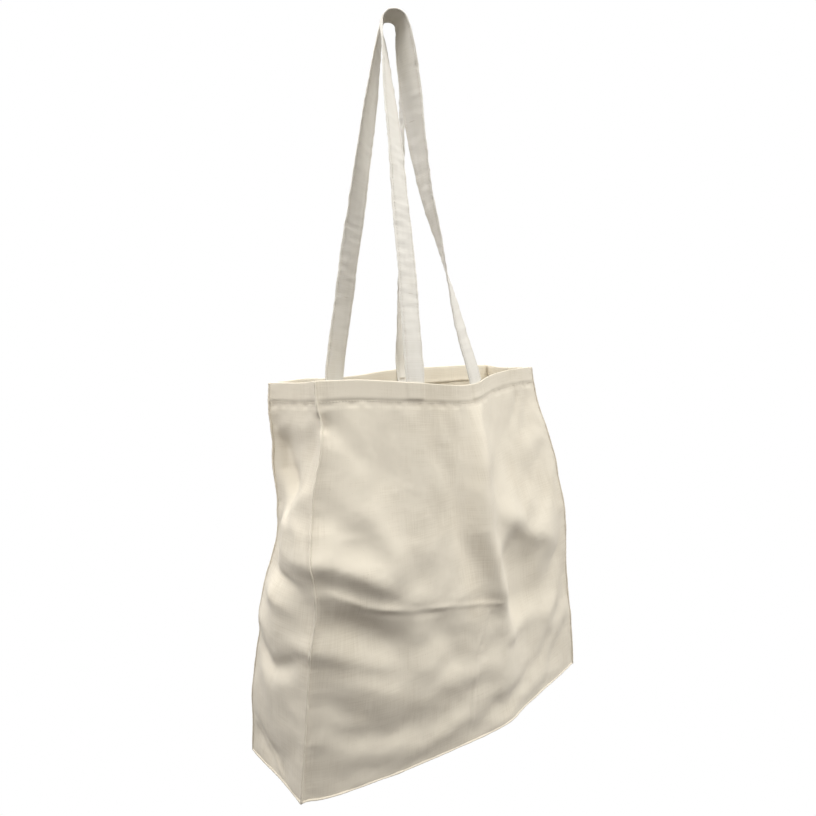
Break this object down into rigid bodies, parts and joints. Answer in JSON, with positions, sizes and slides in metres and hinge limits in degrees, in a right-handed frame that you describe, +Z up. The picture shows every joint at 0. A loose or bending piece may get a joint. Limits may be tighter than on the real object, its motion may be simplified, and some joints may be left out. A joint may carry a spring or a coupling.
{
  "type": "canvas tote bag",
  "caption": "Unbleached canvas tote bag with side and base gussets, a turned hem at the open mouth and two long flat handles held up together.",
  "frame": {"origin": "middle of the base, on the surface that the bag stands on", "axes": "+Z up, the front panel faces -Y, +X to the right as the front is seen"},
  "size_m": [0.4422, 0.1681, 0.8078],
  "materials": {
    "canvas": "plain-weave unbleached cotton canvas, matt, lightly creased",
    "seam": "turned canvas edges sewn together",
    "webbing": "folded canvas strap, pressed flat, edge-stitched",
    "thread": "cotton sewing thread"
  },
  "bodies": {
    "bag": {"front_panel": "canvas", "back_panel": "canvas", "left_gusset": "canvas", "right_gusset": "canvas", "base_panel": "canvas", "front_hem": "canvas", "back_hem": "canvas", "left_hem": "canvas", "right_hem": "canvas", "front_left_seam": "seam", "front_right_seam": "seam", "back_left_seam": "seam", "back_right_seam": "seam", "base_front_seam": "seam", "base_back_seam": "seam", "base_left_seam": "seam", "base_right_seam": "seam", "front_left_strap_end": "webbing", "front_right_strap_end": "webbing", "back_left_strap_end": "webbing", "back_right_strap_end": "webbing", "front_left_bar_tack": "thread", "front_right_bar_tack": "thread", "back_left_bar_tack": "thread", "back_right_bar_tack": "thread"},
    "front_handle": {"front_handle": "webbing"},
    "back_handle": {"back_handle": "webbing"}
  },
  "joints": [
    {"name": "front_handle_flop", "type": "hinge", "parent": "bag", "child": "front_handle", "pos_m": [-0.02785, -0.05106, 0.426], "axis": [0.9917, 0.1288, 0], "range_deg": [0, 165]},
    {"name": "back_handle_flop", "type": "hinge", "parent": "bag", "child": "back_handle", "pos_m": [-0.05948, 0.05273, 0.426], "axis": [-0.9917, -0.1288, 0], "range_deg": [0, 165]}
  ]
}
